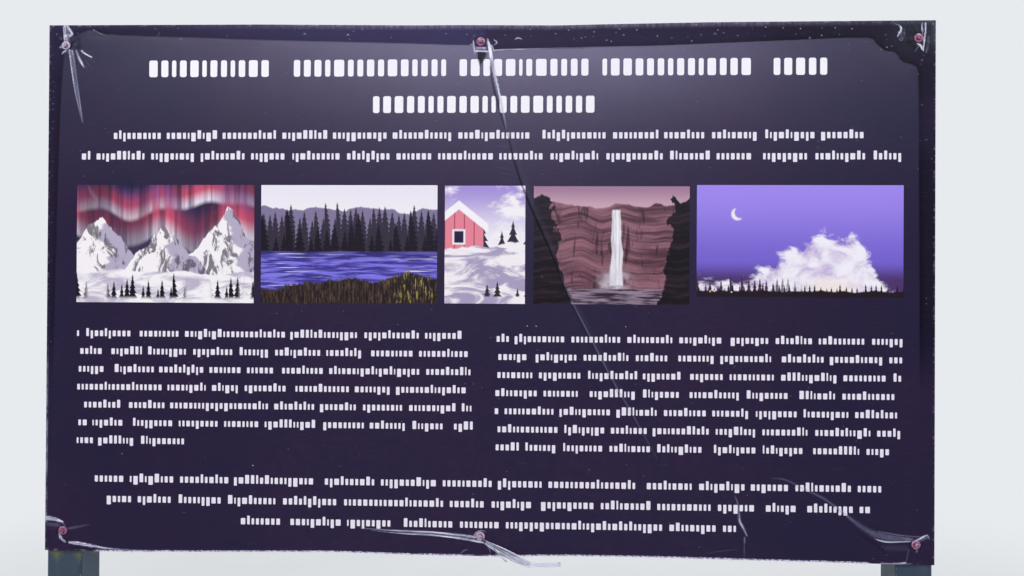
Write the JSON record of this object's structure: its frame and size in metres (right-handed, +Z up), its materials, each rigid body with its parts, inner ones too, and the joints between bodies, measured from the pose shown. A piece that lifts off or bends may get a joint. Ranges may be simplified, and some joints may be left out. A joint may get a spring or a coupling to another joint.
{
  "type": "outdoor information board",
  "caption": "Rectangular display board with a printed sheet screwed to a rail frame between square posts on ribbed base plates.",
  "frame": {"origin": "on the ground midway between the two posts, on the posts' centre plane", "axes": "+X along the board to the reader's right, +Y from the printed face to the back, +Z up"},
  "size_m": [2.216, 0.3, 2.15],
  "materials": {
    "post_paint": "blue-grey paint, satin, weathered",
    "frame_paint": "blue-grey paint, satin, weathered",
    "foot_paint": "blue-grey paint, chipped at the edges",
    "cap_plastic": "black, fine grain",
    "backing_panel": "mill finish with a grey wash coat",
    "print_sheet": "coated cloth with a white back, printed dark violet, satin",
    "washer": "faded red",
    "screw": "faded red paint over zinc"
  },
  "bodies": {
    "root": {"backing_panel": "backing_panel", "bottom_left_screw": "screw", "bottom_left_washer": "washer", "bottom_middle_screw": "screw", "bottom_middle_washer": "washer", "bottom_rail": "frame_paint", "bottom_right_screw": "screw", "bottom_right_washer": "washer", "left_base_plate": "foot_paint", "left_front_rib": "foot_paint", "left_inner_rib": "foot_paint", "left_outer_rib": "foot_paint", "left_post": "post_paint", "left_post_cap": "cap_plastic", "left_rear_rib": "foot_paint", "lower_left_stud": "frame_paint", "lower_right_stud": "frame_paint", "middle_rail": "frame_paint", "print_sheet": "print_sheet", "right_base_plate": "foot_paint", "right_front_rib": "foot_paint", "right_inner_rib": "foot_paint", "right_outer_rib": "foot_paint", "right_post": "post_paint", "right_post_cap": "cap_plastic", "right_rear_rib": "foot_paint", "top_left_screw": "screw", "top_left_washer": "washer", "top_middle_screw": "screw", "top_middle_washer": "washer", "top_rail": "frame_paint", "top_right_screw": "screw", "top_right_washer": "washer", "upper_left_stud": "frame_paint", "upper_right_stud": "frame_paint"}
  },
  "joints": []
}
